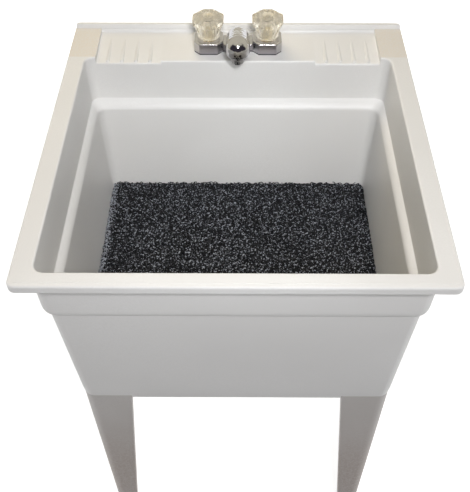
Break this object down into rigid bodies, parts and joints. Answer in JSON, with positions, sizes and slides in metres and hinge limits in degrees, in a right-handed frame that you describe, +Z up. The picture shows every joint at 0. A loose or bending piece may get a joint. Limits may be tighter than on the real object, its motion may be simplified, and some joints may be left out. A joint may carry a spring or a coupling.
{
  "type": "free-standing laundry tub",
  "caption": "Free-standing moulded laundry tub on tapered legs, with a centre-set faucet, clear knobs, a drain fitting and a loop mat.",
  "frame": {"origin": "on the floor, under the centre of the rim", "axes": "+Z up, +Y from the front of the tub to the faucet deck, +X to the right seen from the front"},
  "size_m": [0.584, 0.597, 0.9197],
  "materials": {
    "tub_plastic": "satin moulded plastic with a fine pebble and faint grey flecks",
    "leg_plastic": "satin moulded plastic",
    "zinc_screw": "zinc plated",
    "brass": "turned",
    "foot_plastic": "moulded",
    "mat_fibre": "coarse loops, charcoal with light flecks",
    "strainer_steel": "brushed stainless steel",
    "seal_rubber": "smooth",
    "drain_plastic": "moulded white plastic",
    "chrome": "polished",
    "clear_acrylic": "clear acrylic with a warm tint",
    "insert_metal": "plated",
    "button_plastic": "polished"
  },
  "bodies": {
    "frame": {"tub": "tub_plastic", "front_left_leg": "leg_plastic", "front_right_leg": "leg_plastic", "rear_left_leg": "leg_plastic", "rear_right_leg": "leg_plastic", "leg_screws": "zinc_screw", "foot_inserts": "brass", "drain_strainer": "strainer_steel", "drain_gasket": "seal_rubber", "drain_washer": "seal_rubber", "drain_locknut": "drain_plastic", "tailpiece": "drain_plastic", "tailpiece_washer": "seal_rubber", "coupling_nut": "drain_plastic", "faucet_body": "chrome", "base_gasket": "seal_rubber", "hot_shank": "brass", "cold_shank": "brass", "shank_washers": "seal_rubber", "shank_nuts": "drain_plastic", "hot_cartridge": "brass", "cold_cartridge": "brass", "aerator_housing": "chrome", "aerator_washer": "seal_rubber", "aerator_screen": "strainer_steel"},
    "front_left_leveller": {"front_left_foot": "foot_plastic"},
    "front_right_leveller": {"front_right_foot": "foot_plastic"},
    "rear_left_leveller": {"rear_left_foot": "foot_plastic"},
    "rear_right_leveller": {"rear_right_foot": "foot_plastic"},
    "hot_handle": {"hot_stem": "brass", "hot_knob": "clear_acrylic", "hot_knob_insert": "insert_metal", "hot_knob_screw": "zinc_screw", "hot_index_button": "button_plastic"},
    "cold_handle": {"cold_stem": "brass", "cold_knob": "clear_acrylic", "cold_knob_insert": "insert_metal", "cold_knob_screw": "zinc_screw", "cold_index_button": "button_plastic"},
    "mat": {"loop_mat": "mat_fibre"}
  },
  "joints": [
    {"name": "front_left_foot_screw", "type": "slide", "parent": "frame", "child": "front_left_leveller", "axis": [0, 0, -1], "range_m": [0, 0.015]},
    {"name": "front_right_foot_screw", "type": "slide", "parent": "frame", "child": "front_right_leveller", "axis": [0, 0, -1], "range_m": [0, 0.015]},
    {"name": "rear_left_foot_screw", "type": "slide", "parent": "frame", "child": "rear_left_leveller", "axis": [0, 0, -1], "range_m": [0, 0.015]},
    {"name": "rear_right_foot_screw", "type": "slide", "parent": "frame", "child": "rear_right_leveller", "axis": [0, 0, -1], "range_m": [0, 0.015]},
    {"name": "hot_valve", "type": "hinge", "parent": "frame", "child": "hot_handle", "pos_m": [-0.0508, 0.2405, 0.89], "axis": [0, 0, 1], "range_deg": [0, 90]},
    {"name": "cold_valve", "type": "hinge", "parent": "frame", "child": "cold_handle", "pos_m": [0.0508, 0.2405, 0.89], "axis": [0, 0, 1], "range_deg": [-90, 0]},
    {"name": "mat_lift", "type": "slide", "parent": "frame", "child": "mat", "axis": [0, 0, 1], "range_m": [0, 0.27]}
  ]
}
